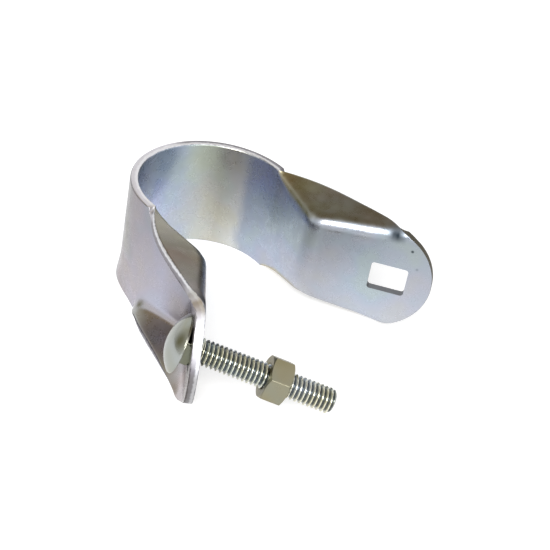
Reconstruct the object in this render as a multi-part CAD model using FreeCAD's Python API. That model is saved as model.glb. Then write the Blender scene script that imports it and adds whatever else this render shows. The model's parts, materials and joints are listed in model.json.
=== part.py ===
import FreeCAD, Part
import math
import os

from FreeCAD import Placement, Rotation, Vector

# A pipe stanchion hanger: a strap of zinc plated sheet pressed round a pipe, with two flared ears,
# a carriage bolt hung in one ear and a hex nut run part of the way along the bolt.
# The pipe's axis is Z, the mouth between the ears points to -Y, and both arms mirror across X = 0.
# All lengths are millimetres, all angles degrees.

# The pipe and the strap's stock
pipeDiameter = 48.26
pipeClearance = 0.07
strapWidth = 38.1
sheetThickness = 2.66

# The plan of one arm: loop, leg that closes in behind the pipe, bend, flared ear
legConvergence = 9.3
legLength = 20.55
bendAngle = 47.7
bendInnerRadius = 8.5
earRoundDistance = 22.65

# The flanges folded outward along both edges of an arm
flangeLead = 2.5
flangeRun = 36.0
flangeBow = 3.6
flangeLip = 1.0
webHalfHeight = 14.8
foldTangent = 4.2
foldTangentOutside = 0.45
foldShare = 0.6  # most of a flange's width that its fold may take up
fadePower = 1.9  # how soon the crease climbs back to the edge along the ear
bowPeak = 4 / 27  # highest value of share * (1 - share) ** 2
sectionEase = 10.0  # length over which cross-sections turn from radial to square with the chord

# The bolt hole in each ear
holeDistance = 27.5
holeLength = 12.0
holeHeight = 10.0
holeCornerRadius = 1.0

# The carriage bolt, 5/16 in by 18 threads to the inch
boltDiameter = 7.94
boltLength = 48.6
boltTipChamfer = 0.9
headDiameter = 18.3
headHeight = 4.4
headRim = 0.6
neckWidth = 8.2
neckLength = 5.0
neckCornerRadius = 0.8

# How the bolt hangs in its oversize hole
boltDroop = 16.5
boltYaw = -2.0
boltAlongEar = 0.4
boltHeight = -0.25
headGap = 0.05

# The hex nut
nutAcrossFlats = 12.7
nutThickness = 6.9
nutDistance = 26.6
nutTurn = 27.0
nutChamferAngle = 30.0
nutCountersink = 0.45
nutBoreClearance = 0.06

# Cross-sections that carry the loft along each stretch of an arm
leadCount = 4
legCount = 6
bendCount = 4
fadeCount = 10
tipCount = 3

loopRadius = pipeDiameter / 2 + pipeClearance
halfWidth = strapWidth / 2
convergence = math.radians(legConvergence)
bend = math.radians(bendAngle)
flare = bend - convergence
bendTangent = bendInnerRadius * math.tan(bend / 2)
bendStart = legLength - bendTangent
bendEnd = bendStart + bendInnerRadius * bend
bendMiddle = (bendStart + bendEnd) / 2
earTip = earRoundDistance + halfWidth


def outward(angle):
    """Unit vector square to the strap, turned by angle from +X towards the mouth."""
    return Vector(math.cos(angle), -math.sin(angle), 0)


def along(angle):
    """Unit vector along the strap towards its ear, square to outward(angle)."""
    return Vector(-math.sin(angle), -math.cos(angle), 0)


legNormal = outward(convergence)
legDirection = along(convergence)
earNormal = outward(-flare)
earDirection = along(-flare)
tangentPoint = legNormal * loopRadius
bendCorner = tangentPoint + legDirection * legLength
bendCentre = tangentPoint + legDirection * bendStart + legNormal * bendInnerRadius


def earPoint(distance):
    """Point of the ear's inner face at a distance past the bend's corner, at mid width."""
    return bendCorner + earDirection * distance


def pathPoint(station):
    """Inner face in plan and the turn of its true normal, at a length past the tangent point."""
    if station < 0:
        angle = convergence + station / loopRadius
        return outward(angle) * loopRadius, angle
    if station < bendStart:
        return tangentPoint + legDirection * station, convergence
    if station < bendEnd:
        angle = convergence - (station - bendStart) / bendInnerRadius
        return bendCentre - outward(angle) * bendInnerRadius, angle
    return earPoint(bendTangent + station - bendEnd), -flare


# The flange's free edge spans a chord from the loop to the ear, and bows a little outside it.
# Cross-sections stand square to this chord, so that none meets its neighbour at the bend.
startTurn = convergence - flangeLead / loopRadius
chordStart = outward(startTurn) * loopRadius
chord = earPoint(flangeRun) - chordStart
chordTurn = math.atan2(-chord.x, -chord.y)


def sectionTurn(station):
    """Turn of a cross-section: radial where the flange starts, then square to the chord."""
    share = (station + flangeLead) / sectionEase
    share = min(max(share, 0), 1)
    return startTurn + (chordTurn - startTurn) * share * share * (3 - 2 * share)


def flangeReach(station):
    """How far the flange's free edge stands out from the web."""
    offset = pathPoint(station)[0] - chordStart
    share = min(max(offset.dot(along(chordTurn)) / chord.Length, 0), 1)
    bow = flangeBow / bowPeak * share * (1 - share) ** 2
    drop = -offset.dot(outward(chordTurn))
    return max(drop + bow, 0) if share < 1 else 0


def creaseHeight(station):
    """Height of the fold's sharp corner above mid width: near the edge at both ends, low at the bend."""
    crest = halfWidth - flangeLip
    if station < bendMiddle:
        share = (station + flangeLead) / (bendMiddle + flangeLead)
        return crest + (webHalfHeight - crest) * share
    share = min((station - bendMiddle) / (flangeRun - bendTangent + bendEnd - bendMiddle), 1)
    return crest + (webHalfHeight - crest) * (1 - share) ** fadePower


def foldedLine(points, tangent):
    """Split a web, corner, edge polyline into web end, corner and flange start for a rounded fold."""
    web, corner, edge = points
    length = (edge - corner).Length
    tangent = min(tangent, foldShare * length)
    webEnd = corner + (web - corner).normalize() * tangent
    flangeStart = corner + (edge - corner).normalize() * tangent
    return webEnd, corner, flangeStart, edge


def crossSection(station):
    """Closed wire of the strap's section: web, two rounded folds, two flanges and their cut edges."""
    base, trueTurn = pathPoint(station)
    turn = sectionTurn(station)
    side = outward(turn)
    up = Vector(0, 0, 1)
    crease = creaseHeight(station)
    reach = flangeReach(station)
    fold = math.atan2(reach, halfWidth - crease)
    skew = math.tan(turn - trueTurn)
    webThickness = sheetThickness * math.hypot(1, skew)
    flangeThickness = sheetThickness * math.hypot(1, skew * math.cos(fold))
    tilt = Vector(math.sin(fold), math.cos(fold), 0)
    square = Vector(math.cos(fold), -math.sin(fold), 0)

    # half profile in the section's own plane: x out from the web, y up
    inner = [Vector(0, 0, 0), Vector(0, crease, 0), Vector(reach, halfWidth, 0)]
    slide = (webThickness - flangeThickness * math.cos(fold)) / max(math.sin(fold), 1e-6)
    outerCorner = inner[1] + square * flangeThickness + tilt * slide
    outer = [Vector(webThickness, 0, 0), outerCorner, inner[2] + square * flangeThickness]
    innerFold = foldedLine(inner, foldTangent)
    outsideTangent = max(foldTangent - sheetThickness * math.tan(fold / 2), foldTangentOutside)
    outerFold = foldedLine(outer, outsideTangent)

    def place(point, sign):
        return base + side * point.x + up * (sign * point.y)

    def flat(start, end):
        return Part.makeLine(start, end)

    def rounded(start, corner, end):
        curve = Part.BezierCurve()
        curve.setPoles([start, corner, end])
        return curve.toShape()

    topIn = [place(point, 1) for point in innerFold]
    lowIn = [place(point, -1) for point in innerFold]
    topOut = [place(point, 1) for point in outerFold]
    lowOut = [place(point, -1) for point in outerFold]
    edges = [
        flat(lowIn[3], lowIn[2]),
        rounded(lowIn[2], lowIn[1], lowIn[0]),
        flat(lowIn[0], topIn[0]),
        rounded(topIn[0], topIn[1], topIn[2]),
        flat(topIn[2], topIn[3]),
        flat(topIn[3], topOut[3]),
        flat(topOut[3], topOut[2]),
        rounded(topOut[2], topOut[1], topOut[0]),
        flat(topOut[0], lowOut[0]),
        rounded(lowOut[0], lowOut[1], lowOut[2]),
        flat(lowOut[2], lowOut[3]),
        flat(lowOut[3], lowIn[3]),
    ]
    return Part.Wire(edges)


def spread(start, end, count):
    """Evenly spaced values from start up to, but not including, end."""
    return [start + (end - start) * index / count for index in range(count)]


def uprightEdges(shape):
    """Edges of a prism that run along Z."""
    return [edge for edge in shape.Edges if abs(edge.tangentAt(edge.FirstParameter).z) > 0.5]


def makeArm():
    """One pressed arm: the section carried along leg, bend and ear, then blanked to shape."""
    fadeEnd = bendEnd + flangeRun - bendTangent
    armEnd = bendEnd + earTip - bendTangent + sheetThickness
    stretches = [
        (-flangeLead, 0, leadCount),
        (0, bendStart, legCount),
        (bendStart, bendEnd, bendCount),
        (bendEnd, fadeEnd, fadeCount),
        (fadeEnd, armEnd, tipCount),
    ]
    stations = [station for stretch in stretches for station in spread(*stretch)] + [armEnd]
    arm = Part.makeLoft([crossSection(station) for station in stations], True, False)

    # the ear's end is a full round as wide as the strap; both punches reach well past the sheet
    earAxes = Rotation(earDirection, Vector(0, 0, 1), earNormal, "ZXY")
    punch = 4 * sheetThickness
    scrap = Part.makeBox(strapWidth, 2 * strapWidth, 2 * punch, Vector(0, -strapWidth, -punch))
    scrap = scrap.cut(Part.makeCylinder(halfWidth, 2 * punch, Vector(0, 0, -punch)))
    holeStart = Vector(-holeLength / 2, -holeHeight / 2, -punch)
    hole = Part.makeBox(holeLength, holeHeight, 2 * punch, holeStart)
    hole = hole.makeFillet(holeCornerRadius, uprightEdges(hole))
    for tool, distance in ((scrap, earRoundDistance), (hole, holeDistance)):
        tool.Placement = Placement(earPoint(distance), earAxes)
        arm = arm.cut(tool)
    return arm


def makeStrap():
    """Loop and two mirrored arms, pressed from one strip."""
    inside = outward(startTurn) * loopRadius
    outside = outward(startTurn) * (loopRadius + sheetThickness)
    top = Vector(0, 0, halfWidth)
    corners = [inside - top, outside - top, outside + top, inside + top, inside - top]
    strip = Part.Face(Part.makePolygon(corners))
    loop = strip.revolve(Vector(0, 0, 0), Vector(0, 0, 1), 180 + 2 * math.degrees(startTurn))
    arm = makeArm()
    otherArm = arm.mirror(Vector(0, 0, 0), Vector(1, 0, 0))
    return loop.fuse([arm, otherArm]).removeSplitter()


def boltFrame():
    """Axes of the bolt as it hangs: the centre of its bearing face, X level, Z towards the tip."""
    droop = math.radians(boltDroop)
    heading = math.radians(boltYaw) - flare
    axis = Vector(math.cos(heading) * math.cos(droop), math.sin(heading) * math.cos(droop), -math.sin(droop))
    inward = Vector(earNormal.x, -earNormal.y, 0)
    lean = axis.getAngle(inward)
    seat = (sheetThickness + headGap + headDiameter / 2 * math.sin(lean)) / math.cos(lean)
    hole = earPoint(holeDistance + boltAlongEar)
    start = Vector(-hole.x, hole.y, boltHeight) - axis * seat
    level = Vector(-math.sin(heading), math.cos(heading), 0)
    return Placement(start, Rotation(level, Vector(0, 0, 1), axis, "ZXY"))


def turned(outline):
    """Solid of revolution about Z from (radius, height) corners; two more values bend the next side."""
    edges = []
    for start, end in zip(outline, outline[1:] + outline[:1]):
        first = Vector(start[0], 0, start[1])
        last = Vector(end[0], 0, end[1])
        if len(start) == 4:
            edges.append(Part.Arc(first, Vector(start[2], 0, start[3]), last).toShape())
        else:
            edges.append(Part.makeLine(first, last))
    return Part.Face(Part.Wire(edges)).revolve(Vector(0, 0, 0), Vector(0, 0, 1), 360)


def makeBolt():
    """Cup head, square neck and shank in one forging; the shank is plain at the thread's crest."""
    headRadius = headDiameter / 2
    boltRadius = boltDiameter / 2
    domeHeight = headHeight - headRim
    domeRadius = (headRadius ** 2 + domeHeight ** 2) / (2 * domeHeight)
    halfTurn = math.asin(headRadius / domeRadius) / 2
    domeX = domeRadius * math.sin(halfTurn)
    domeZ = domeRadius * (1 - math.cos(halfTurn)) - headHeight
    head = turned([(0, 0), (headRadius, 0), (headRadius, -headRim, domeX, domeZ), (0, -headHeight)])
    shank = turned([
        (0, 0),
        (boltRadius, 0),
        (boltRadius, boltLength - boltTipChamfer),
        (boltRadius - boltTipChamfer, boltLength),
        (0, boltLength),
    ])
    neck = Part.makeBox(neckWidth, neckWidth, neckLength, Vector(-neckWidth / 2, -neckWidth / 2, 0))
    neck = neck.makeFillet(neckCornerRadius, uprightEdges(neck))
    neckCorner = neckWidth * math.sqrt(0.5)
    neckTaper = neckCorner - boltRadius
    taper = turned([
        (0, 0),
        (neckCorner, 0),
        (neckCorner, neckLength - neckTaper),
        (boltRadius, neckLength),
        (0, neckLength),
    ])
    bolt = head.fuse([neck.common(taper), shank]).removeSplitter()
    bolt.Placement = boltFrame()
    return bolt


def makeNut():
    """Hex prism with both faces chamfered round and a bore that clears the thread's crest."""
    cornerRadius = nutAcrossFlats / math.sqrt(3)
    faceRadius = nutAcrossFlats / 2
    chamfer = (cornerRadius - faceRadius) * math.tan(math.radians(nutChamferAngle))
    boreRadius = boltDiameter / 2 + nutBoreClearance
    corners = []
    for index in range(7):
        angle = math.radians(nutTurn + 60 * index)
        corners.append(Vector(cornerRadius * math.cos(angle), cornerRadius * math.sin(angle), 0))
    prism = Part.Face(Part.makePolygon(corners)).extrude(Vector(0, 0, nutThickness))
    blank = turned([
        (boreRadius + nutCountersink, 0),
        (faceRadius, 0),
        (cornerRadius, chamfer),
        (cornerRadius, nutThickness - chamfer),
        (faceRadius, nutThickness),
        (boreRadius + nutCountersink, nutThickness),
        (boreRadius, nutThickness - nutCountersink),
        (boreRadius, nutCountersink),
    ])
    nut = prism.common(blank)
    seat = boltFrame()
    nut.Placement = seat.multiply(Placement(Vector(0, 0, nutDistance), Rotation()))
    return nut


os.makedirs("parts", exist_ok=True)
for name, shape in (("strap", makeStrap()), ("carriage_bolt", makeBolt()), ("hex_nut", makeNut())):
    print(name, "valid", shape.isValid(), "solids", len(shape.Solids), "volume", round(shape.Volume, 1))
    shape.exportStep("parts/" + name + ".step")
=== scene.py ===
import json
import math

import bmesh
import bpy
from mathutils import Matrix, Vector


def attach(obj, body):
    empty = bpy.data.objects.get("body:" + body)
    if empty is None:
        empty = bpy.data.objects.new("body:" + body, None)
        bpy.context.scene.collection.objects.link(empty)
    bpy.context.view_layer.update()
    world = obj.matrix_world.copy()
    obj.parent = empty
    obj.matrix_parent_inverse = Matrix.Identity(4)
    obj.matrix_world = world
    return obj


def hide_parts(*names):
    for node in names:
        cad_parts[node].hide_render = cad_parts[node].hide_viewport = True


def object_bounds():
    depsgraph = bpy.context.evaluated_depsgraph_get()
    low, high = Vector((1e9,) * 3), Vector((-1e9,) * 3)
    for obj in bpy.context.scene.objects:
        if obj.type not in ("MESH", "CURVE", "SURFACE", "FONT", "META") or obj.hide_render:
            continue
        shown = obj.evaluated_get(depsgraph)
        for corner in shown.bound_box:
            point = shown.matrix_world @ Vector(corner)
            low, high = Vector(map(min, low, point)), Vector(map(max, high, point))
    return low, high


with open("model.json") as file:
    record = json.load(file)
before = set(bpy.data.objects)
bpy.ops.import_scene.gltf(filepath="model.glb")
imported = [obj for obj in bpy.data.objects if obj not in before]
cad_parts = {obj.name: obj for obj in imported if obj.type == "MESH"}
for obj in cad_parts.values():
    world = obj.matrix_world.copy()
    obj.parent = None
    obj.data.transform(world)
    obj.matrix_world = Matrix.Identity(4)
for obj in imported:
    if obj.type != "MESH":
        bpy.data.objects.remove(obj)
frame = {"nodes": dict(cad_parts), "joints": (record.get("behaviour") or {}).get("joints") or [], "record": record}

cadLow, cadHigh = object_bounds()
mm = 0.001
print("frame loaded:", ", ".join(sorted(frame["nodes"])))


def linear(colour):  # sRGB hex to linear RGBA
    parts = [int(colour[place:place + 2], 16) / 255 for place in (1, 3, 5)]
    return [part / 12.92 if part <= 0.04045 else ((part + 0.055) / 1.055) ** 2.4 for part in parts] + [1.0]


# inputs take a value, a socket, or a node whose first live output is linked
# stops are the (place, sRGB hex) of a colour ramp
def addNode(tree, kind, settings=None, inputs=None, stops=()):
    node = tree.nodes.new(kind)
    for name, value in (settings or {}).items():
        setattr(node, name, value)
    for name, value in (inputs or {}).items():
        if isinstance(value, bpy.types.Node):
            value = next(output for output in value.outputs if output.enabled)
        if isinstance(value, bpy.types.NodeSocket):
            tree.links.new(value, node.inputs[name])
        else:
            node.inputs[name].default_value = value
    for extra in stops[2:]:  # a new ramp has two
        node.color_ramp.elements.new(0.5)
    for step, (place, colour) in enumerate(stops):
        node.color_ramp.elements[step].position = place
        node.color_ramp.elements[step].color = linear(colour)
    return node


def smooth(share):
    share = min(max(share, 0.0), 1.0)
    return share * share * (3 - 2 * share)


def evenSteps(start, end, count):  # count values from start, without end
    return [start + (end - start) * step / count for step in range(count)]


def newPiece(name, mesh, *materials):
    piece = bpy.data.objects.new(name, mesh)
    bpy.context.scene.collection.objects.link(piece)
    for material in materials:
        mesh.materials.append(material)
    return piece


def applied(piece):  # modifiers into a plain mesh
    graph = bpy.context.evaluated_depsgraph_get()
    mesh = bpy.data.meshes.new_from_object(piece.evaluated_get(graph), depsgraph=graph)
    mesh.name = piece.name
    piece.modifiers.clear()
    piece.data = mesh
    return piece


def emptyMaterial(name):
    material = bpy.data.materials.new(name)
    material.use_nodes = True
    material.node_tree.nodes.clear()
    return material, material.node_tree


# Bright zinc plate: satin metal whose passivation film shades from violet to straw along the strip,
# with soft blotches and a fine grain from the sheet below it. Parts of its colours are painted reflection and
# painted shade.
zinc = {
    "mottleSize": 3.2,         # mm across a blotch of duller plate
    "mottleSpan": [0.3, 0.7],  # noise that is brightest, and dullest
    "tearSize": 1.3,           # mm across a tear in a sheared edge
    "grainSize": 0.55,         # mm, coarser than the real grain so that it shows
    "grainDepth": 0.05,        # mm
    "cloudSize": 14.0,         # mm across a cloud of thicker film
    "cloudSpan": [0.32, 0.68],
    "cloudShift": 5.0,         # mm that a cloud moves the bands along the strip
    "rainbowSize": 16.0,       # mm across a patch of the film's faint rainbow
    "rainbow": [(0.36, "#fffaf7"), (0.45, "#fdf9fe"), (0.55, "#f7faff"), (0.64, "#f9fef9")],
    "shadedRoughness": 0.35,     # added where shade is painted: a dimple's dark spot, and the darker edges
    "detail": {"mottle": 4.0, "tear": 4.0, "grain": 3.0, "cloud": 2.0},   # of the noise
}


def plate(name, colouring, roughness, bump, shadeMask=None):  # colouring(tree, place) gives the metal's colour
    material, tree = emptyMaterial(name)
    place = addNode(tree, "ShaderNodeTexCoord").outputs["Object"]
    mottle = addNode(tree, "ShaderNodeTexNoise", None, {
        "Vector": place, "Scale": 1 / (zinc["mottleSize"] * mm), "Detail": zinc["detail"]["mottle"]})
    rough = addNode(tree, "ShaderNodeMapRange", None, {
        "Value": mottle, "From Min": zinc["mottleSpan"][0], "From Max": zinc["mottleSpan"][1],
        "To Min": roughness[0], "To Max": roughness[1]})
    # rougher where shade is painted
    if shadeMask:
        paintedShade = addNode(tree, "ShaderNodeAttribute", {"attribute_name": shadeMask}).outputs["Fac"]
        rough = addNode(tree, "ShaderNodeMath", {"operation": "MULTIPLY_ADD"}, {
            0: paintedShade, 1: zinc["shadedRoughness"], 2: rough})
    grain = addNode(tree, "ShaderNodeTexNoise", None, {
        "Vector": place, "Scale": 1 / (zinc["grainSize"] * mm), "Detail": zinc["detail"]["grain"]})
    relief = addNode(tree, "ShaderNodeBump", None, {
        "Height": grain, "Strength": bump, "Distance": zinc["grainDepth"] * mm})
    metal = addNode(tree, "ShaderNodeBsdfPrincipled", None, {
        "Base Color": colouring(tree, place), "Metallic": 1.0, "Roughness": rough, "Normal": relief})
    addNode(tree, "ShaderNodeOutputMaterial", None, {"Surface": metal})
    return material


def clouded(*tints):  # one film colour, drifting a little
    def colouring(tree, place):
        clouds = addNode(tree, "ShaderNodeTexNoise", None, {
            "Vector": place, "Scale": 1 / (zinc["cloudSize"] * mm), "Detail": zinc["detail"]["cloud"]})
        low, high = zinc["cloudSpan"]
        stops = [(low + (high - low) * step / (len(tints) - 1), tint) for step, tint in enumerate(tints)]
        return addNode(tree, "ShaderNodeValToRGB", None, {"Fac": clouds}, stops)
    return colouring


# film bands along the strip, as (mm from the loop's middle, colour): the film's tint, whose steps in brightness
# also paint the loop's and arms' reflected bands; the flange bands are straw brown painted reflection
stripFilmAndShade = {
    "halfLength": 105.0,
    "inside": [
        (-60, "#b9b6b4"), (-30, "#c4c8dc"), (-4, "#c2cbe4"), (6, "#c0cad2"), (13, "#cbcfc5"), (19, "#c0c1b4"),
        (25, "#cbcfc8"), (29, "#acb5bd"), (38, "#b1b8c4"), (54, "#bac2cd"), (60, "#bcc2ca"), (66, "#afb4b9"),
        (80, "#b4bdc6"), (100, "#b8bdc4"),
    ],
    "outside": [
        (-100, "#c6c1bf"), (-86, "#bab4b2"), (-72, "#a5a2a6"), (-60, "#a3a2a8"), (-50, "#b3b5c0"),
        (-36, "#b0aeb3"), (-29, "#a49f9f"), (0, "#a8abb0"), (60, "#a4a6ae"),
    ],
    "flange": [
        (-75, "#918a7e"), (-66, "#8a7c6c"), (-60, "#948d80"), (-50, "#b4ada0"), (40, "#b6b090"),
        (52, "#b0ac9a"), (62, "#a2a29c"), (74, "#96948a"),
    ],
    # the colour of a dimple's painted dark spot and of the pits
    "dimpleShadeAndPits": "#1c2830",
    "pits": [{"place": (41.12, -50.13, 12.34), "size": 0.65, "depth": 0.85},
             {"place": (42.85, -52.31, 6.21), "size": 0.6, "depth": 0.3}],
    "pitCore": 0.4,                 # share of a pit's size that is darkest
    "height": [15.0, 0.74, 1.08],   # painted shade and reflection: brightness from this far above mid width to as far below
}


def stripColouring(tree, place):
    strip = addNode(tree, "ShaderNodeAttribute", {"attribute_name": "tintAndShade"}).outputs["Vector"]
    strip = addNode(tree, "ShaderNodeSeparateXYZ", None, {"Vector": strip}).outputs
    clouds = addNode(tree, "ShaderNodeTexNoise", None, {
        "Vector": place, "Scale": 1 / (zinc["cloudSize"] * mm), "Detail": zinc["detail"]["cloud"]})
    drift = addNode(tree, "ShaderNodeMath", {"operation": "MULTIPLY_ADD"}, {0: clouds, 1: 2.0, 2: -1.0})
    length = addNode(tree, "ShaderNodeMath", {"operation": "MULTIPLY_ADD"}, {
        0: drift, 1: zinc["cloudShift"], 2: strip["X"]})
    half = stripFilmAndShade["halfLength"]
    share = addNode(tree, "ShaderNodeMath", {"operation": "MULTIPLY_ADD"}, {
        0: length, 1: 0.5 / half, 2: 0.5})
    # film tint with painted reflection inside and outside, and painted reflection on the flanges
    bands = {}
    for side in ("inside", "outside", "flange"):
        bands[side] = addNode(tree, "ShaderNodeValToRGB", None, {"Fac": share}, [
            (0.5 + 0.5 * reach / half, tint) for reach, tint in stripFilmAndShade[side]])
    # a colour mix has its share in socket 0 and its colours in 6 and 7
    web = addNode(tree, "ShaderNodeMix", {"data_type": "RGBA"}, {
        0: strip["Z"], 6: bands["outside"], 7: bands["inside"]})
    tintAndShade = addNode(tree, "ShaderNodeMix", {"data_type": "RGBA"}, {
        0: strip["Y"], 6: web, 7: bands["flange"]})
    # a dimple's painted dark spot, and the pits
    dimpleShadeAndPits = addNode(tree, "ShaderNodeAttribute", {"attribute_name": "dimpleShadeAndPits"}).outputs["Fac"]
    for pit in stripFilmAndShade["pits"]:
        away = addNode(tree, "ShaderNodeVectorMath", {"operation": "DISTANCE"}, {
            0: place, 1: [value * mm for value in pit["place"]]})
        dot = addNode(tree, "ShaderNodeMapRange", None, {
            "Value": away, "From Min": pit["size"] * mm,
            "From Max": stripFilmAndShade["pitCore"] * pit["size"] * mm, "To Max": pit["depth"]})
        dimpleShadeAndPits = addNode(tree, "ShaderNodeMath", {"operation": "MAXIMUM"}, {0: dimpleShadeAndPits, 1: dot})
    marked = addNode(tree, "ShaderNodeMix", {"data_type": "RGBA"}, {
        0: dimpleShadeAndPits, 6: tintAndShade, 7: linear(stripFilmAndShade["dimpleShadeAndPits"])})
    patches = addNode(tree, "ShaderNodeTexNoise", None, {
        "Vector": place, "Scale": 1 / (zinc["rainbowSize"] * mm), "Detail": zinc["detail"]["cloud"]})
    rainbow = addNode(tree, "ShaderNodeValToRGB", None, {"Fac": patches}, zinc["rainbow"])
    tinted = addNode(tree, "ShaderNodeMix", {"data_type": "RGBA", "blend_type": "MULTIPLY"}, {
        0: 1.0, 6: marked, 7: rainbow})
    # painted shade darker towards the top, painted reflection of the floor lighter towards the bottom
    reach, upper, lower = stripFilmAndShade["height"]
    height = addNode(tree, "ShaderNodeSeparateXYZ", None, {"Vector": place}).outputs["Z"]
    shade = addNode(tree, "ShaderNodeMapRange", None, {
        "Value": height, "From Min": -reach * mm, "From Max": reach * mm, "To Min": lower, "To Max": upper})
    return addNode(tree, "ShaderNodeVectorMath", {"operation": "SCALE"}, {"Vector": tinted, "Scale": shade})


# A sheared edge's bands paint its rounding's highlight: a dark line at each side, a white line near the inside.
# Where tone is higher the edge is rougher and, as painted shade, its bands darker.
edgeHighlightAndShade = {
    "bright": [(0.0, "#98969c"), (0.1, "#d4d2d8"), (0.5, "#dad8de"), (0.64, "#ececf0"), (0.9, "#e8e8ec"),
               (1.0, "#9296a0")],
    "shaded": [(0.0, "#3e3a40"), (0.1, "#625e64"), (0.22, "#8f8c92"), (0.52, "#98969c"), (0.66, "#dedfe4"),
             (0.86, "#e4e4e8"), (1.0, "#80848e")],
    "deepShade": "#625e54",   # attribute tone is 0 where the edge is bright, 0.5 in painted half shade and 1 in painted deep shade
    "drift": 0.4,        # how far a tear moves the bands across the edge
}


def edgeColouring(tree, place):
    tintAndShade = addNode(tree, "ShaderNodeAttribute", {"attribute_name": "tintAndShade"}).outputs["Vector"]
    depth = addNode(tree, "ShaderNodeSeparateXYZ", None, {"Vector": tintAndShade}).outputs["Z"]
    tears = addNode(tree, "ShaderNodeTexNoise", None, {
        "Vector": place, "Scale": 1 / (zinc["tearSize"] * mm), "Detail": zinc["detail"]["tear"]})
    drift = addNode(tree, "ShaderNodeMath", {"operation": "MULTIPLY_ADD"}, {
        0: tears, 1: edgeHighlightAndShade["drift"], 2: -edgeHighlightAndShade["drift"] / 2})
    depth = addNode(tree, "ShaderNodeMath", {"operation": "ADD"}, {0: depth, 1: drift})
    # painted shade: tone turns the bands darker, then into one dark colour
    tone = addNode(tree, "ShaderNodeAttribute", {"attribute_name": "tone"}).outputs["Fac"]
    shadedShare = addNode(tree, "ShaderNodeMath", {"operation": "MULTIPLY"}, {0: tone, 1: 2.0})
    shaded = addNode(tree, "ShaderNodeMix", {"data_type": "RGBA"}, {
        0: shadedShare,
        6: addNode(tree, "ShaderNodeValToRGB", None, {"Fac": depth}, edgeHighlightAndShade["bright"]),
        7: addNode(tree, "ShaderNodeValToRGB", None, {"Fac": depth}, edgeHighlightAndShade["shaded"])})
    deepShadeShare = addNode(tree, "ShaderNodeMath", {"operation": "MULTIPLY_ADD"}, {0: tone, 1: 2.0, 2: -1.0})
    return addNode(tree, "ShaderNodeMix", {"data_type": "RGBA"}, {
        0: deepShadeShare, 6: shaded, 7: linear(edgeHighlightAndShade["deepShade"])})


# Painted shade: the thread's roots darker, its crests lightest, the neck and the head darker. Attribute crest is 0
# in the roots.
boltShadeAndClouds = {
    "crest": 0.7,
    "neck": 0.85,
    "head": 1.0,
    "tints": [(0.0, "#666e78"), (0.3, "#b4b8ba"), (0.7, "#f0f0e8"), (0.85, "#747870"), (1.0, "#a3a7a5")],
    "clouds": ["#ffffff", "#f2eedc", "#f4fafa"],
}


def boltColouring(tree, place):
    crest = addNode(tree, "ShaderNodeAttribute", {"attribute_name": "crest"}).outputs["Fac"]
    tintAndShade = addNode(tree, "ShaderNodeValToRGB", None, {"Fac": crest}, boltShadeAndClouds["tints"])
    return addNode(tree, "ShaderNodeMix", {"data_type": "RGBA", "blend_type": "MULTIPLY"}, {
        0: 1.0, 6: tintAndShade, 7: clouded(*boltShadeAndClouds["clouds"])(tree, place)})


sheetZinc = plate("brightZincOnPressedSheet", stripColouring, roughness=[0.22, 0.36], bump=0.05, shadeMask="dimpleShadeAndPits")
edgeZinc = plate("brightZincOnShearedEdge", edgeColouring, roughness=[0.3, 0.45], bump=0.2, shadeMask="tone")
# the punched hole's walls are rougher, and darker as painted shade
holeZinc = plate("punchedHoleZincWithPaintedShade", clouded("#74777e", "#808285"), roughness=[0.4, 0.55], bump=0.2)
boltZinc = plate("brightZincOnForgedBolt", boltColouring, roughness=[0.13, 0.22], bump=0.04)
nutZinc = plate("strawZincOnCutNut", clouded("#8c8466", "#928c74", "#8b8d80"),
                roughness=[0.26, 0.38], bump=0.08)
print("materials made")


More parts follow.
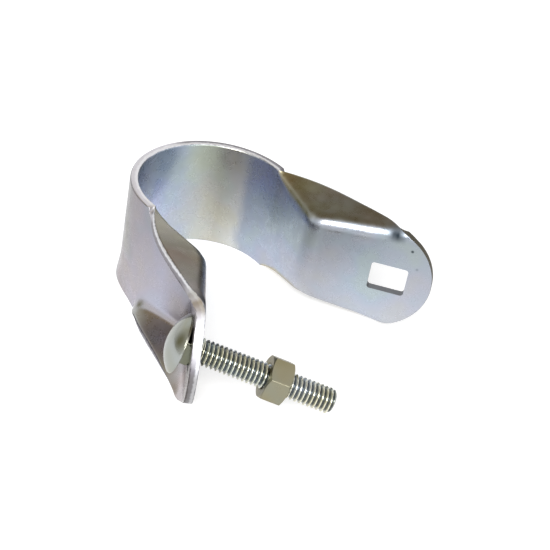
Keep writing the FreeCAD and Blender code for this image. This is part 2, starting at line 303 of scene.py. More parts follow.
# The strap: one strip swept from ear to ear, flanges folded outward along both arms. Lengths are in mm.
# A station is a length along the inner face, past the point where the loop runs into a leg.
pipeSeat = next(mount for mount in frame["record"]["mounts"] if mount["name"] == "pipe_seat")
strap = {
    "loopRadius": pipeSeat["dims"]["r_mm"],
    "halfWidth": pipeSeat["dims"]["length_mm"] / 2,
    "sheet": 2.66,
    "legTurn": 9.3,           # degrees that a leg closes in behind the pipe
    "legLength": 20.55,
    "bendTurn": 47.7,
    "bendRadius": 8.5,
    "earRound": 22.65,        # bend's corner to the centre of the ear's round end
    "flangeLead": 2.5,        # how far round the loop the flange starts
    "flangeRun": 36.0,        # bend's corner to where it fades out
    "flangeBow": 3.6,
    # half height of the flat web at the bend, and the flange's own height at its two ends
    "fold": {"webHalf": 14.8, "startLip": 1.0, "endLip": 1.7},
    "lowerFold": {"webHalf": 17.0, "startLip": 4.4, "endLip": 4.2},   # the bolt arm's lower flange
    "foldTangent": 4.2,
    "foldTangentOutside": 0.45,
    "foldShare": 0.6,         # of the flange, that the fold's rounding may take
    "foldSteps": 24,
    "fadePower": 1.9,
    "sectionEase": 10.0,      # length over which sections turn from radial to square with the chord
    "squareFrom": 9.0,        # then they turn to square with the ear, from here past the bend's corner
    "squareClear": 1.0,       # and are square this far ahead of the hole
    "holeDistance": 27.5,
    "holeLength": 12.0,
    "holeHeight": 10.0,
    "holeCorner": 1.0,
    "facing": 0.7,            # cosine past which a face by the hole lies in the ear's own face
    "edgeRound": 0.75,
    "edgeRow": 0.85,          # last row of a skin, clear of the rounding
    "roundSteps": 5,
    "sharpEdge": 50.0,        # degrees past which an edge counts as sheared
    "kinkRound": 0.05,        # share of the rounding that is left where a flange starts
    "kink": 7.0,              # length over which it comes back
    "earEdge": {"from": 28.0, "ease": 12.0, "less": 0.7},   # the ears' ends are rounded less
    # the bolt arm's lower edge swings out ahead of its fold, and has a small burr on the loop
    "swings": [
        {"from": -8.0, "full": 1.5, "end": 29.0, "amount": 1.85, "height": 6.0},
        {"from": -30.0, "full": -20.0, "end": -10.0, "amount": 0.85, "height": 10.0},
    ],
    "webRows": [0.0, 0.5, 1.0, 1.3, 1.6],   # heights in half holes, so that a row meets the hole's side
    "foldRows": 28,
    "rings": {"loop": 32, "lead": 5, "leg": 18, "bend": 14, "ear": 20, "hole": 8},
    "patchStart": 35.0,       # the ear's end beyond this is one curved patch
    "patchSteps": 7,
    "tipAngle": 28.0,         # half of the round end that the patch's last row takes
    # painted dark spot where a fold runs out, for a dimple's dark reflection
    "paintedDimpleShade": {"station": 47.2, "height": 16.6, "size": [4.4, 3.2]},
    # edges get painted half shade on the free side, on the arms and at a flange's first step, and painted deep
    # shade at the ears' ends
    "paintedShade": {"shaded": 0.5, "step": 1.0, "ease": 8.0, "tipFrom": 82.0, "below": 8.0, "boltEar": 0.72},
    # straw brown painted reflection on the flanges, between two distances off the web, on the leg and on the ear
    "paintedFlangeReflection": {"leg": [0.0, 0.6], "ear": [1.0, 2.6], "ease": 8.0, "fade": [36.0, 52.0], "outside": 0.35},
}

legTurn = math.radians(strap["legTurn"])
bendTurn = math.radians(strap["bendTurn"])
flare = bendTurn - legTurn
bendTangent = strap["bendRadius"] * math.tan(bendTurn / 2)
bendStart = strap["legLength"] - bendTangent
bendEnd = bendStart + strap["bendRadius"] * bendTurn
bendMiddle = (bendStart + bendEnd) / 2
earStart = bendEnd - bendTangent   # station of the bend's corner, as the ear counts it
halfWidth = strap["halfWidth"]
loopMiddle = -(math.pi / 2 + legTurn) * strap["loopRadius"]
holeStart = strap["holeDistance"] - strap["holeLength"] / 2
holeEnd = strap["holeDistance"] + strap["holeLength"] / 2


def outward(turn):
    return Vector((math.cos(turn), -math.sin(turn)))


def alongStrap(turn):
    return Vector((-math.sin(turn), -math.cos(turn)))


tangentPoint = outward(legTurn) * strap["loopRadius"]
bendCorner = tangentPoint + alongStrap(legTurn) * strap["legLength"]
bendCentre = tangentPoint + alongStrap(legTurn) * bendStart + outward(legTurn) * strap["bendRadius"]
startTurn = legTurn - strap["flangeLead"] / strap["loopRadius"]
chordStart = outward(startTurn) * strap["loopRadius"]
chord = bendCorner + alongStrap(-flare) * strap["flangeRun"] - chordStart
chordTurn = math.atan2(-chord.x, -chord.y)


def stripPlan(station):  # inner face in plan, and its turn
    if station < 0:
        turn = legTurn + station / strap["loopRadius"]
        return outward(turn) * strap["loopRadius"], turn
    if station < bendStart:
        return tangentPoint + alongStrap(legTurn) * station, legTurn
    if station < bendEnd:
        turn = legTurn - (station - bendStart) / strap["bendRadius"]
        return bendCentre - outward(turn) * strap["bendRadius"], turn
    return bendCorner + alongStrap(-flare) * (bendTangent + station - bendEnd), -flare


def sectionTurn(station):
    if station < -strap["flangeLead"]:
        return stripPlan(station)[1]
    squareEnd = holeStart - strap["squareClear"]
    squareShare = (station - earStart - strap["squareFrom"]) / (squareEnd - strap["squareFrom"])
    leadShare = (station + strap["flangeLead"]) / strap["sectionEase"]
    turn = startTurn + (chordTurn - startTurn) * smooth(leadShare)
    return turn + (-flare - chordTurn) * smooth(squareShare)


def flangeReach(base, turn):  # along a section, out to the bowed chord, closing in on it in a few tries
    offset = base - chordStart
    drop = -offset.dot(outward(chordTurn))
    lean = turn - chordTurn
    reach = 0.0
    for attempt in range(4):
        share = (offset.dot(alongStrap(chordTurn)) + reach * math.sin(lean)) / chord.length
        if share <= 0 or share >= 1:
            return max(reach, 0.0) if attempt else 0.0
        bow = 27 / 4 * share * (1 - share) ** 2   # 1 at its peak
        reach = (drop + strap["flangeBow"] * bow) / math.cos(lean)
    return max(reach, 0.0)


def creaseHeight(station, fold):
    webHalf = fold["webHalf"]
    if station < bendMiddle:
        crest = halfWidth - fold["startLip"]
        share = (station + strap["flangeLead"]) / (bendMiddle + strap["flangeLead"])
        return crest + (webHalf - crest) * max(share, 0.0)
    crest = halfWidth - fold["endLip"]
    share = (station - bendMiddle) / (strap["flangeRun"] - bendTangent + bendEnd - bendMiddle)
    return crest + (webHalf - crest) * (1 - min(share, 1.0)) ** strap["fadePower"]


def foldedRows(web, corner, edge, tangent, limit):  # rows of one skin from mid width to its edge
    tangent = min(tangent, strap["foldShare"] * (edge - corner).length)
    start = corner + (web - corner).normalized() * tangent
    end = corner + (edge - corner).normalized() * tangent
    rows = [Vector((web.x, height * strap["holeHeight"] / 2)) for height in strap["webRows"]]
    line = [rows[-1]]
    for step in range(strap["foldSteps"] + 1):
        share = step / strap["foldSteps"]
        line.append(start * (1 - share) ** 2 + corner * 2 * share * (1 - share) + end * share ** 2)
    line.append(edge)
    cut = [line[0]]
    for first, last in zip(line, line[1:]):
        if last.y >= limit:
            cut.append(first + (last - first) * (limit - first.y) / (last.y - first.y))
            break
        cut.append(last)
    lengths = [(last - first).length for first, last in zip(cut, cut[1:])]
    total = sum(lengths)
    leg, passed = 0, 0.0
    for step in range(1, strap["foldRows"]):
        target = (total - strap["edgeRow"]) * step / (strap["foldRows"] - 1)
        while passed + lengths[leg] < target:
            passed += lengths[leg]
            leg += 1
        rows.append(cut[leg] + (cut[leg + 1] - cut[leg]) * (target - passed) / lengths[leg])
    return rows + [cut[-1]]


def closedRing(base, side, upper, lower):  # each half is its inner and outer rows
    def point(row, sign):
        plan = base + side * row.x
        return Vector((plan.x, plan.y, sign * row.y))
    rows = [(row, -1) for row in lower[0][:0:-1]] + [(row, 1) for row in upper[0]]
    rows += [(row, 1) for row in upper[1][::-1]] + [(row, -1) for row in lower[1][1:]]
    skins = [upper[0][0].x] * (len(rows) // 2) + [upper[1][0].x] * (len(rows) // 2)
    return [(point(row, sign), row.x - skin) for (row, sign), skin in zip(rows, skins)]


def stripRing(station, foldBelow):  # points of one section, each with how far it stands off the web
    base, trueTurn = stripPlan(station)
    turn = sectionTurn(station)
    reach = flangeReach(base, turn)
    skew = math.tan(turn - trueTurn)
    webThickness = strap["sheet"] * math.hypot(1, skew)
    pastRound = station - earStart - strap["earRound"]
    limit = math.sqrt(halfWidth ** 2 - pastRound ** 2) if pastRound > 0 else 2 * halfWidth
    halves = []
    for form in (strap["fold"], foldBelow):
        crease = creaseHeight(station, form)
        fold = math.atan2(reach, halfWidth - crease)
        flangeThickness = strap["sheet"] * math.hypot(1, skew * math.cos(fold))
        tilt = Vector((math.sin(fold), math.cos(fold)))
        square = Vector((math.cos(fold), -math.sin(fold)))
        corner, edge = Vector((0, crease)), Vector((reach, halfWidth))
        slide = (webThickness - flangeThickness * math.cos(fold)) / max(math.sin(fold), 1e-6)
        inner = foldedRows(Vector((0, 0)), corner, edge, strap["foldTangent"], limit)
        tangent = strap["foldTangent"] - strap["sheet"] * math.tan(fold / 2)
        outer = foldedRows(Vector((webThickness, 0)), corner + square * flangeThickness + tilt * slide,
                           edge + square * flangeThickness, max(tangent, strap["foldTangentOutside"]), limit)
        halves.append((inner, outer))
    return closedRing(base, outward(turn), *halves)


def edgeSwing(station, height):  # how far the bolt arm's lower edge stands out
    total = 0.0
    for swing in strap["swings"]:
        rise = smooth((station - swing["from"]) / (swing["full"] - swing["from"]))
        fall = smooth((swing["end"] - station) / (swing["end"] - swing["full"]))
        share = smooth((-height - swing["height"]) / (halfWidth - swing["height"]))
        total += swing["amount"] * rise * fall * share
    return total


def paintedFlangeReflection(station, offset, inside):  # share of straw brown painted reflection, by how far a point stands off the web
    tintAndShade = strap["paintedFlangeReflection"]
    onEar = smooth((station - bendMiddle) / tintAndShade["ease"] + 0.5)
    low, high = [leg + (ear - leg) * onEar for leg, ear in zip(tintAndShade["leg"], tintAndShade["ear"])]
    fading = smooth((station - tintAndShade["fade"][0]) / (tintAndShade["fade"][1] - tintAndShade["fade"][0]))
    return smooth((offset - low) / (high - low)) * (1 - fading) * (1 if inside else tintAndShade["outside"])


# a dimple's painted dark spot where a fold runs out
def paintedDimpleShade(station, height):
    dimpleShadeAndPits = strap["paintedDimpleShade"]
    long, tall = dimpleShadeAndPits["size"]
    return 1 - smooth(math.hypot((station - dimpleShadeAndPits["station"]) / long, (height - dimpleShadeAndPits["height"]) / tall))


def edgeTone(length, height):  # painted shade on the edges; length from the loop's middle, the free arm's side above 0
    paintedShade = strap["paintedShade"]
    pastStart = abs(length) + loopMiddle + strap["flangeLead"]
    freeSide = smooth(length / paintedShade["ease"])
    arm = 1.0 if 0 < pastStart < paintedShade["step"] else smooth(pastStart / paintedShade["ease"])
    shaded = paintedShade["shaded"] * (freeSide + (1 - freeSide) * arm)
    tip = smooth((abs(length) - paintedShade["tipFrom"]) / paintedShade["ease"])
    # painted deep shade on the free ear's end all round, on the other one low down
    below = paintedShade["boltEar"] * smooth((paintedShade["below"] - height) / paintedShade["ease"])
    return shaded + ((1 if length > 0 else below) - shaded) * tip


def earEndRings(rows):  # Coons patch from a straight row across the ear to its round tip
    startDistance, radius = strap["patchStart"], halfWidth
    sideAngle = math.acos((startDistance - strap["earRound"]) / radius)
    tipAngle = math.radians(strap["tipAngle"])

    def onRound(angle):
        return Vector((strap["earRound"] + radius * math.cos(angle), radius * math.sin(angle)))

    def straight(share):
        return Vector((startDistance, share * radius * math.sin(sideAngle)))
    rings = []
    for step in range(1, strap["patchSteps"] + 1):
        p = step / strap["patchSteps"]
        low = onRound(-sideAngle + (sideAngle - tipAngle) * p)
        high = onRound(sideAngle + (tipAngle - sideAngle) * p)
        skin = []
        for row in rows:
            q = row / rows[-1]
            ruled = straight(q) * (1 - p) + onRound(tipAngle * q) * p
            sides = low * (1 - q) / 2 + high * (1 + q) / 2
            corners = (straight(-1) * (1 - p) + onRound(-tipAngle) * p) * (1 - q) / 2
            corners += (straight(1) * (1 - p) + onRound(tipAngle) * p) * (1 + q) / 2
            skin.append(ruled + sides - corners)
        ring = []
        for depth, points in ((0.0, skin), (strap["sheet"], skin[::-1])):
            for point in points:
                plan = bendCorner + alongStrap(-flare) * point.x + outward(-flare) * depth
                ring.append((Vector((plan.x, plan.y, point.y)), 0.0))
        rings.append(ring)
    return rings


def buildStrap():
    counts = strap["rings"]
    stations = evenSteps(loopMiddle, -strap["flangeLead"], counts["loop"])
    stations += evenSteps(-strap["flangeLead"], 0, counts["lead"])
    stations += evenSteps(0, bendStart, counts["leg"])
    stations += evenSteps(bendStart, bendEnd, counts["bend"])
    stations += evenSteps(bendEnd, earStart + holeStart, counts["ear"])
    holeRing = len(stations)
    stations += evenSteps(earStart + holeStart, earStart + holeEnd, counts["hole"])
    holeLast = len(stations)
    stations += [earStart + holeEnd, earStart + strap["patchStart"]]
    arms = []
    for foldBelow in (strap["fold"], strap["lowerFold"]):   # free arm, bolt arm
        arm = [stripRing(station, foldBelow) for station in stations]
        skinRows = len(arm[0]) // 2
        arms.append(arm + earEndRings([point.z for point, offset in arm[-1][:skinRows]]))
    right = arms[0]
    stations += [earStart + strap["patchStart"]] * strap["patchSteps"]
    left = []
    for ring, station in zip(arms[1][:0:-1], stations[:0:-1]):
        side = outward(sectionTurn(station)).to_3d()
        swung = [(point + side * edgeSwing(station, point.z), offset) for point, offset in ring]
        left.append([(Vector((-point.x, point.y, point.z)), offset) for point, offset in swung])
    lengths = [loopMiddle - station for station in stations[:0:-1]]
    lengths += [station - loopMiddle for station in stations]

    shape = bmesh.new()
    tintAndShade = shape.verts.layers.float_vector.new("tintAndShade")   # mm from the loop's middle, share of painted flange reflection, 1 inside
    # a dimple's painted dark spot
    dimpleShadeAndPits = shape.verts.layers.float.new("dimpleShadeAndPits")
    # the edges' painted shade
    tone = shape.verts.layers.float.new("tone")
    rings = []
    for points, length in zip(left + right, lengths):
        station = abs(length) + loopMiddle
        ring = []
        for row, (point, offset) in enumerate(points):
            inside = row < skinRows
            vert = shape.verts.new(point * mm)
            vert[tintAndShade] = (length, paintedFlangeReflection(station, offset, inside), float(inside))
            vert[tone] = edgeTone(length, point.z)
            vert[dimpleShadeAndPits] = paintedDimpleShade(station, point.z) if inside else 0.0
            ring.append(vert)
        rings.append(ring)
    count, last = 2 * skinRows, len(rings) - 1
    middle, reach = skinRows // 2, strap["webRows"].index(1.0)
    holes = [(len(left) + holeRing, len(left) + holeLast), (len(left) - holeLast, len(left) - holeRing)]

    def across(ring, row):  # the vertex on the other skin
        return rings[ring][count - 1 - row]

    def wall(slot, *corners):
        shape.faces.new(corners).material_index = slot
    for ring in range(last):
        inHole = any(first <= ring < end for first, end in holes)
        for row in range(count):
            height = min(row, count - 2 - row)
            if inHole and middle - reach <= height < middle + reach:
                continue
            after = (row + 1) % count
            wall(int(row % skinRows == skinRows - 1),
                 rings[ring][row], rings[ring + 1][row], rings[ring + 1][after], rings[ring][after])
    for ring in (0, last):
        for row in range(skinRows - 1):
            wall(1, rings[ring][row], rings[ring][row + 1], across(ring, row + 1), across(ring, row))
    for first, end in holes:
        for row in (middle - reach, middle + reach):
            for ring in range(first, end):
                wall(2, rings[ring][row], rings[ring + 1][row], across(ring + 1, row), across(ring, row))
        for ring in (first, end):
            for row in range(middle - reach, middle + reach):
                wall(2, rings[ring][row], rings[ring][row + 1], across(ring, row + 1), across(ring, row))
    corners = [shape.edges.get((rings[ring][row], across(ring, row)))
               for first, end in holes for ring in (first, end) for row in (middle - reach, middle + reach)]
    bmesh.ops.recalc_face_normals(shape, faces=shape.faces)
    bmesh.ops.bevel(shape, geom=corners, offset=strap["holeCorner"] * mm, segments=strap["roundSteps"],
                    profile=0.5, affect="EDGES", material=2)
    bmesh.ops.recalc_face_normals(shape, faces=shape.faces)
    for face in shape.faces:  # the bevel's corner patches that lie in the ear's faces are sheet, not hole
        normal = face.normal
        facing = outward(-flare).dot(Vector((abs(normal.x), math.copysign(1, normal.x) * normal.y)))
        if face.material_index == 2 and abs(facing) > strap["facing"]:
            face.material_index = 0
    weights = shape.edges.layers.float.new("bevel_weight_edge")
    earEdge = strap["earEdge"]
    for edge in shape.edges:
        if edge.calc_face_angle(0) > math.radians(strap["sharpEdge"]):
            punched = any(face.material_index == 2 for face in edge.link_faces)   # stays sharp
            station = sum(abs(vert[tintAndShade].x) for vert in edge.verts) / 2 + loopMiddle
            fromKink = smooth(abs(station + strap["flangeLead"]) / strap["kink"])
            rounding = strap["kinkRound"] + (1 - strap["kinkRound"]) * fromKink
            rounding *= 1 - earEdge["less"] * smooth((station - earEdge["from"]) / earEdge["ease"])
            edge[weights] = 0 if punched else rounding
            edge.smooth = not punched
    for face in shape.faces:
        face.smooth = True
    mesh = bpy.data.meshes.new("pressedStrap")
    shape.to_mesh(mesh)
    shape.free()
    piece = newPiece("pressedStrap", mesh, sheetZinc, edgeZinc, holeZinc)
    bevel = piece.modifiers.new("shearedEdges", "BEVEL")
    bevel.width = strap["edgeRound"] * mm
    bevel.segments = strap["roundSteps"]
    bevel.limit_method = "WEIGHT"
    bevel.use_clamp_overlap = False
    piece.modifiers.new("flatFaces", "WEIGHTED_NORMAL").keep_sharp = True
    return applied(piece)


strapPiece = buildStrap()
print("strap:", len(strapPiece.data.polygons), "faces")


# The carriage bolt and its nut lie on the nut's joint axis.
# In their own frame X is level and Z runs to the tip. Lengths are in mm.
nutJoint = next(joint for joint in frame["joints"] if joint["name"] == "nut_turn")
nutPlace = Vector(nutJoint["pos_m"]) / mm
boltAxis = Vector(nutJoint["axis"]).normalized()
bolt = {
    "crest": 7.94 / 2,
    "pitch": 25.4 / 18,       # 18 threads to the inch
    "depth": 0.6134,          # of the pitch, crest to root
    "flat": 0.125,            # of half a pitch, left at crest and root
    "length": 48.6,
    "tipChamfer": 0.9,
    "tipDish": 0.25,
    "dishRings": [(0.55, 0.0), (0.3, 0.7)],   # shares of the tip's radius and of the dish's depth
    "headRadius": 18.3 / 2,
    "headHeight": 4.4,
    "headRim": 0.6,
    "domeSteps": 24,
    "domeShare": 0.985,       # the dome ends just inside the rim's rounding
    "rimRound": 0.22,
    "rimTurn": [60, -90],     # degrees round the rim's edge
    "rimSteps": 6,
    "neckWidth": 8.2,
    "neckLength": 5.0,
    "neckCorner": 0.8,
    "taperSteps": 8,
    "columns": 72,
    "rowsPerTurn": 14,
    "sharp": 40,              # degrees past which an edge is shaded sharp
}
nut = {
    "acrossFlats": 12.7,
    "thickness": 6.9,
    "distance": 26.6,         # bolt's bearing face to the nut's near face
    "turn": 27.0,
    "chamfer": 30.0,
    "faceInset": 0.12,
    "bore": bolt["crest"] + 0.06,   # with its clearance
    "countersink": 0.45,
    "cornerRound": 0.3,
    "sector": [0, 1, 2, 3.5, 6, 10, 16, 23, 30, 37, 44, 50, 54, 56.5, 58, 59],   # degrees past a corner
    "sharp": 20,
}
levelAxis = Vector((0, 0, 1)).cross(boltAxis).normalized()
boltSeat = nutPlace - boltAxis * (nut["distance"] + nut["thickness"] / 2)
boltFrame = Matrix((levelAxis, boltAxis.cross(levelAxis), boltAxis)).transposed().to_4x4()
boltFrame = Matrix.Scale(mm, 4) @ Matrix.Translation(boltSeat) @ boltFrame


def threadTree():  # a tube whose radius follows the helix of a 60 degree thread
    tree = bpy.data.node_groups.new("rolledThread", "GeometryNodeTree")
    tree.is_modifier = True
    for name, kind in (("Crest", "Float"), ("Root", "Float"), ("Pitch", "Float"), ("Start", "Float"),
                       ("Length", "Float"), ("Chamfer", "Float"), ("Columns", "Int"), ("Rows", "Int"),
                       ("Material", "Material")):
        tree.interface.new_socket(name=name, in_out="INPUT", socket_type="NodeSocket" + kind)
    tree.interface.new_socket(name="Geometry", in_out="OUTPUT", socket_type="NodeSocketGeometry")
    size = addNode(tree, "NodeGroupInput").outputs
    run = addNode(tree, "ShaderNodeMath", {"operation": "SUBTRACT"}, {0: size["Length"], 1: size["Start"]})
    tube = addNode(tree, "GeometryNodeMeshCylinder", {"fill_type": "NONE"}, {
        "Vertices": size["Columns"], "Side Segments": size["Rows"], "Radius": size["Crest"], "Depth": run})
    place = addNode(tree, "GeometryNodeInputPosition")
    place = addNode(tree, "ShaderNodeSeparateXYZ", None, {0: place}).outputs
    ends = addNode(tree, "ShaderNodeMath", {"operation": "ADD"}, {0: size["Length"], 1: size["Start"]})
    height = addNode(tree, "ShaderNodeMath", {"operation": "MULTIPLY_ADD"}, {
        0: ends, 1: 0.5, 2: place["Z"]})
    angle = addNode(tree, "ShaderNodeMath", {"operation": "ARCTAN2"}, {0: place["Y"], 1: place["X"]})
    # a wave along the helix, 0 in the roots and 1 on the crests
    climb = addNode(tree, "ShaderNodeMath", {"operation": "DIVIDE"}, {0: height, 1: size["Pitch"]})
    around = addNode(tree, "ShaderNodeMath", {"operation": "DIVIDE"}, {0: angle, 1: 2 * math.pi})
    turns = addNode(tree, "ShaderNodeMath", {"operation": "SUBTRACT"}, {0: climb, 1: around})
    share = addNode(tree, "ShaderNodeMath", {"operation": "FRACT"}, {0: turns})
    wave = addNode(tree, "ShaderNodeMath", {"operation": "MULTIPLY_ADD"}, {0: share, 1: 2.0, 2: -1.0})
    wave = addNode(tree, "ShaderNodeMath", {"operation": "ABSOLUTE"}, {0: wave})
    flank = addNode(tree, "ShaderNodeMapRange", None, {
        "Value": wave, "From Min": bolt["flat"], "From Max": 1 - bolt["flat"],
        "To Min": size["Root"], "To Max": size["Crest"]})
    # the thread runs in over its first turn and ends in the tip's chamfer
    past = addNode(tree, "ShaderNodeMath", {"operation": "SUBTRACT"}, {0: height, 1: size["Start"]})
    runIn = addNode(tree, "ShaderNodeMapRange", {"interpolation_type": "SMOOTHSTEP"}, {
        "Value": past, "From Min": 0.0, "From Max": size["Pitch"]})
    cutDepth = addNode(tree, "ShaderNodeMath", {"operation": "SUBTRACT"}, {0: flank, 1: size["Crest"]})
    grown = addNode(tree, "ShaderNodeMath", {"operation": "MULTIPLY_ADD"}, {
        0: cutDepth, 1: runIn, 2: size["Crest"]})
    tip = addNode(tree, "ShaderNodeMath", {"operation": "SUBTRACT"}, {
        0: size["Length"], 1: size["Chamfer"]})
    tip = addNode(tree, "ShaderNodeMath", {"operation": "ADD"}, {0: size["Crest"], 1: tip})
    tip = addNode(tree, "ShaderNodeMath", {"operation": "SUBTRACT"}, {0: tip, 1: height})
    radius = addNode(tree, "ShaderNodeMath", {"operation": "MINIMUM"}, {0: grown, 1: tip})
    sides = {"Z": height}
    for axis, operation in (("X", "COSINE"), ("Y", "SINE")):
        part = addNode(tree, "ShaderNodeMath", {"operation": operation}, {0: angle})
        sides[axis] = addNode(tree, "ShaderNodeMath", {"operation": "MULTIPLY"}, {0: part, 1: radius})
    moved = addNode(tree, "ShaderNodeCombineXYZ", None, sides)
    # painted shade, darker towards the thread's roots
    tintAndShade = addNode(tree, "ShaderNodeMapRange", None, {
        "Value": radius, "From Min": size["Root"], "From Max": size["Crest"], "To Max": boltShadeAndClouds["crest"]})
    marked = addNode(tree, "GeometryNodeStoreNamedAttribute", {"data_type": "FLOAT"}, {
        "Geometry": tube, "Name": "crest", "Value": tintAndShade})
    cut = addNode(tree, "GeometryNodeSetPosition", None, {"Geometry": marked, "Position": moved})
    real = addNode(tree, "GeometryNodeRealizeInstances", None, {"Geometry": cut})
    plated = addNode(tree, "GeometryNodeSetMaterial", None, {
        "Geometry": real, "Material": size["Material"]})
    addNode(tree, "NodeGroupOutput", None, {"Geometry": plated})
    return tree


def threadMesh():
    tree = threadTree()
    holder = newPiece("threadHolder", bpy.data.meshes.new("threadHolder"))
    modifier = holder.modifiers.new("thread", "NODES")
    modifier.node_group = tree
    rows = round((bolt["length"] - bolt["neckLength"]) / bolt["pitch"] * bolt["rowsPerTurn"])
    values = {"Crest": bolt["crest"], "Root": bolt["crest"] - bolt["depth"] * bolt["pitch"],
              "Pitch": bolt["pitch"], "Start": bolt["neckLength"], "Length": bolt["length"],
              "Chamfer": bolt["tipChamfer"], "Columns": bolt["columns"], "Rows": rows, "Material": boltZinc}
    for item in tree.interface.items_tree:
        if item.in_out == "INPUT":
            modifier[item.identifier] = values[item.name]
    mesh = applied(holder).data
    bpy.data.objects.remove(holder)
    return mesh


def squareRadius(angle, half, corner):  # rounded square, seen from its centre
    angle = abs((angle + math.pi / 4) % (math.pi / 2) - math.pi / 4)
    inset = half - corner
    if half * math.tan(angle) <= inset:
        return half / math.cos(angle)
    middle = inset * (math.cos(angle) + math.sin(angle))
    return middle + math.sqrt(middle ** 2 - 2 * inset ** 2 + corner ** 2)


def lathe(shape, rows, angles):  # rows of (radius, height), each a number or a function of the angle
    rings = []
    for radius, height in rows:
        ring = []
        for angle in angles:
            out = radius(angle) if callable(radius) else radius
            top = height(angle) if callable(height) else height
            ring.append(shape.verts.new((out * math.cos(angle), out * math.sin(angle), top)))
        rings.append(ring)
    for low, high in zip(rings, rings[1:]):
        for place in range(len(angles)):
            after = (place + 1) % len(angles)
            shape.faces.new((low[place], low[after], high[after], high[place]))
    return rings


def closeWith(shape, ring, height):  # a fan from a ring to a point on the axis
    pole = shape.verts.new((0, 0, height))
    for place in range(len(ring)):
        shape.faces.new((pole, ring[place], ring[(place + 1) % len(ring)]))


def finishTurned(shape, name, material, sharp):
    seam = 1e-4   # mm within which rings are joined
    bmesh.ops.remove_doubles(shape, verts=shape.verts, dist=seam)
    bmesh.ops.recalc_face_normals(shape, faces=shape.faces)
    for face in shape.faces:
        face.smooth = True
        face.material_index = 0
    shape.transform(boltFrame)
    mesh = bpy.data.meshes.new(name)
    shape.to_mesh(mesh)
    shape.free()
    mesh.set_sharp_from_angle(angle=math.radians(sharp))
    return newPiece(name, mesh, material)


def buildBolt():
    shape = bmesh.new()
    shape.from_mesh(threadMesh())
    threadVerts = len(shape.verts)
    angles = evenSteps(0, 2 * math.pi, bolt["columns"])
    headRadius, rimRound = bolt["headRadius"], bolt["rimRound"]
    domeHeight = bolt["headHeight"] - bolt["headRim"]
    domeRadius = (headRadius ** 2 + domeHeight ** 2) / (2 * domeHeight)
    domeTurn = math.asin(headRadius / domeRadius) * bolt["domeShare"]
    rows = []
    for step in range(1, bolt["domeSteps"] + 1):
        turn = domeTurn * step / bolt["domeSteps"]
        rows.append((domeRadius * math.sin(turn), domeRadius * (1 - math.cos(turn)) - bolt["headHeight"]))
    rimStart, rimEnd = bolt["rimTurn"]
    for step in range(bolt["rimSteps"] + 1):
        turn = math.radians(rimStart + (rimEnd - rimStart) * step / bolt["rimSteps"])
        rows.append((headRadius - rimRound * (1 - math.cos(turn)), -rimRound - rimRound * math.sin(turn)))
    half = bolt["neckWidth"] / 2
    neckCorner = bolt["neckWidth"] * math.sqrt(0.5)
    taperStart = bolt["neckLength"] - (neckCorner - bolt["crest"])

    def neck(limit):
        return lambda angle: min(squareRadius(angle, half, bolt["neckCorner"]), limit)
    rows += [(neck(neckCorner), 0.0), (neck(neckCorner), taperStart)]
    for step in range(1, bolt["taperSteps"] + 1):
        share = step / bolt["taperSteps"]
        rows.append((neck(neckCorner + (bolt["crest"] - neckCorner) * share),
                     taperStart + (bolt["neckLength"] - taperStart) * share))
    closeWith(shape, lathe(shape, rows, angles)[0], -bolt["headHeight"])
    # the thread's last ring closes in a shallow dish
    tipRadius = bolt["crest"] - bolt["tipChamfer"]
    rows = [(tipRadius, bolt["length"])]
    rows += [(out * tipRadius, bolt["length"] - down * bolt["tipDish"]) for out, down in bolt["dishRings"]]
    closeWith(shape, lathe(shape, rows, angles)[-1], bolt["length"] - bolt["tipDish"])
    crest = shape.verts.layers.float["crest"]
    # painted shade on the neck and head
    for vert in list(shape.verts)[threadVerts:]:
        vert[crest] = boltShadeAndClouds["neck"] if 0 <= vert.co.z <= bolt["neckLength"] else boltShadeAndClouds["head"]
    return finishTurned(shape, "carriageBolt", boltZinc, bolt["sharp"])


boltPiece = buildBolt()
print("bolt:", len(boltPiece.data.polygons), "faces")


def buildNut():
    shape = bmesh.new()
    angles = [math.radians(nut["turn"] + 60 * side + step) for side in range(6) for step in nut["sector"]]
    flat, corner = nut["acrossFlats"] / 2, nut["acrossFlats"] / math.sqrt(3)
    face = flat - nut["faceInset"]
    slope = math.tan(math.radians(nut["chamfer"]))
    near, far = nut["distance"], nut["distance"] + nut["thickness"]

    def hexRadius(angle):  # flats meet in rounded corners
        turn = math.radians((math.degrees(angle) - nut["turn"] + 30) % 60 - 30)
        centre = corner - 2 * nut["cornerRound"] / math.sqrt(3)
        straight = flat / math.cos(math.pi / 6 - abs(turn))
        inside = nut["cornerRound"] ** 2 - (centre * math.sin(turn)) ** 2
        if inside <= 0:
            return straight
        return min(straight, centre * math.cos(turn) + math.sqrt(inside))

    def chamfered(angle):
        return (hexRadius(angle) - face) * slope
    sink = nut["countersink"]
    rows = [
        (nut["bore"], near + sink),
        (nut["bore"] + sink, near),
        (face, near),
        (hexRadius, lambda angle: near + chamfered(angle)),
        (hexRadius, lambda angle: far - chamfered(angle)),
        (face, far),
        (nut["bore"] + sink, far),
        (nut["bore"], far - sink),
        (nut["bore"], near + sink),
    ]
    lathe(shape, rows, angles)
    return finishTurned(shape, "hexNut", nutZinc, nut["sharp"])


nutPiece = buildNut()
print("nut:", len(nutPiece.data.polygons), "faces")

for piece, body, node, slot in ((strapPiece, "hanger", "strap", "strap_zinc"),
                                (boltPiece, "hanger", "carriage_bolt", "bolt_zinc"),
                                (nutPiece, "nut", "hex_nut", "nut_zinc")):
    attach(piece, body)
    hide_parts(node)


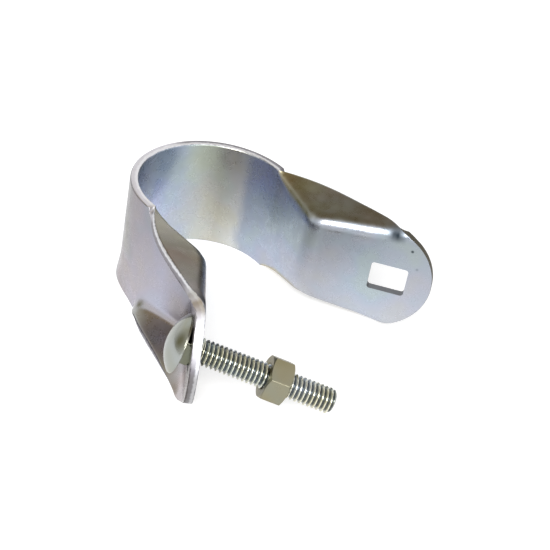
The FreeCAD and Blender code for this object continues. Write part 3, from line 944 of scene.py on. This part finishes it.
# Studio: pale paper floor, two soft lamps, and tinted cards that only the metal mirrors.
studio = {
    "floorSize": 6.0,
    "floorColour": "#dcdcdc",
    "eyeGlow": 0.5,           # added to the floor for the camera only
    "mirrorGlow": 0.35,       # added to it where metal mirrors it
    "worldFill": 0.6,
    "cards": [   # they fade out between the two radii, so that no edge shows in the metal
        {"name": "brownCeiling", "colour": "#a09070", "place": (-0.05, 0.2, 0.5), "soft": [0.2, 0.45]},
        {"name": "darkBackWall", "colour": "#948e6c", "place": (-0.44, 0.45, 0.16), "soft": [0.0, 0.42]},
        {"name": "darkRightWall", "colour": "#4c4c44", "place": (0.55, 0.04, 0.06), "soft": [0.12, 0.3]},
    ],
    "lamps": [
        {"name": "keySoftbox", "place": (-0.62, -0.42, 0.58), "size": 0.45, "power": 7.0},
        {"name": "frontSoftbox", "place": (-0.11, -0.68, 0.48), "size": 0.25, "power": 1.2},
    ],
}


def seenBy(tree, *kinds):  # 1 where the ray is one of these
    path = addNode(tree, "ShaderNodeLightPath").outputs
    seen = path["Is " + kinds[0] + " Ray"]
    for kind in kinds[1:]:
        seen = addNode(tree, "ShaderNodeMath", {"operation": "MAXIMUM"}, {
            0: seen, 1: path["Is " + kind + " Ray"]})
    return seen


def stagePlane(name, size, place, material):
    half = size / 2
    corners = [(-half, -half, 0), (half, -half, 0), (half, half, 0), (-half, half, 0)]
    mesh = bpy.data.meshes.new(name)
    mesh.from_pydata(corners, [], [(0, 1, 2, 3)])
    plane = newPiece(name, mesh, material)
    plane.location = place
    return plane


def buildCard(card):
    material, tree = emptyMaterial(card["name"])
    shade = addNode(tree, "ShaderNodeEmission", None, {"Color": linear(card["colour"]), "Strength": 1.0})
    centre = addNode(tree, "ShaderNodeTexCoord").outputs["Object"]
    reach = addNode(tree, "ShaderNodeVectorMath", {"operation": "LENGTH"}, {0: centre})
    fade = addNode(tree, "ShaderNodeMapRange", {"interpolation_type": "SMOOTHSTEP"}, {
        "Value": reach, "From Min": card["soft"][0], "From Max": card["soft"][1]})
    clear = addNode(tree, "ShaderNodeBsdfTransparent")
    mixed = addNode(tree, "ShaderNodeMixShader", None, {0: fade, 1: shade, 2: clear})
    addNode(tree, "ShaderNodeOutputMaterial", None, {"Surface": mixed})
    place = Vector(card["place"])
    plane = stagePlane(card["name"], 2 * card["soft"][1], place, material)
    plane.rotation_euler = place.to_track_quat("Z", "Y").to_euler()
    plane.visible_camera = False
    plane.visible_diffuse = False
    plane.visible_shadow = False


def buildStudio():
    scene = bpy.context.scene
    scene.view_settings.view_transform = "Standard"
    world = bpy.data.worlds.new("whiteStudio")
    scene.world = world
    world.use_nodes = True
    tree = world.node_tree
    tree.nodes.clear()
    strength = addNode(tree, "ShaderNodeMapRange", None, {
        "Value": seenBy(tree, "Camera", "Glossy", "Transmission"),
        "To Min": studio["worldFill"], "To Max": 1.0})
    sky = addNode(tree, "ShaderNodeBackground", None, {"Color": (1, 1, 1, 1), "Strength": strength})
    addNode(tree, "ShaderNodeOutputWorld", None, {"Surface": sky})

    paper, tree = emptyMaterial("whitePaperFloor")
    matt = addNode(tree, "ShaderNodeBsdfDiffuse", None, {"Color": linear(studio["floorColour"])})
    mirrored = addNode(tree, "ShaderNodeMath", {"operation": "MULTIPLY"}, {
        0: seenBy(tree, "Glossy", "Transmission"), 1: studio["mirrorGlow"]})
    glow = addNode(tree, "ShaderNodeMath", {"operation": "MULTIPLY_ADD"}, {
        0: seenBy(tree, "Camera"), 1: studio["eyeGlow"], 2: mirrored})
    light = addNode(tree, "ShaderNodeEmission", None, {"Color": (1, 1, 1, 1), "Strength": glow})
    both = addNode(tree, "ShaderNodeAddShader", None, {0: matt, 1: light})
    addNode(tree, "ShaderNodeOutputMaterial", None, {"Surface": both})
    stagePlane("floor", studio["floorSize"], (0, 0, cadLow.z), paper)

    for card in studio["cards"]:
        buildCard(card)
    for lamp in studio["lamps"]:
        data = bpy.data.lights.new(lamp["name"], "AREA")
        data.shape = "SQUARE"
        data.size = lamp["size"]
        data.energy = lamp["power"]
        softbox = bpy.data.objects.new(lamp["name"], data)
        scene.collection.objects.link(softbox)
        place = Vector(lamp["place"])
        facing = place.to_track_quat("Z", "Y").to_matrix().to_4x4()
        softbox.matrix_world = Matrix.Translation(place) @ facing


camera = {
    "place": (-0.2612742, -0.2885337, 0.2608517),
    "right": (0.76527753, -0.62361104, 0.15956053),
    "down": (-0.2655818, -0.53168729, -0.80422319),
    "lens": 95.345,
    "sensor": 36.0,
    "nearest": 0.01,
}


def buildCamera():
    data = bpy.data.cameras.new("photoCamera")
    data.sensor_fit = "HORIZONTAL"
    data.sensor_width = camera["sensor"]
    data.lens = camera["lens"]
    data.clip_start = camera["nearest"]
    eye = bpy.data.objects.new("photoCamera", data)
    bpy.context.scene.collection.objects.link(eye)
    right, up = Vector(camera["right"]), -Vector(camera["down"])
    turn = Matrix((right, up, right.cross(up))).transposed().to_4x4()
    eye.matrix_world = Matrix.Translation(camera["place"]) @ turn
    bpy.context.scene.camera = eye


buildStudio()
buildCamera()
print("studio and camera set")
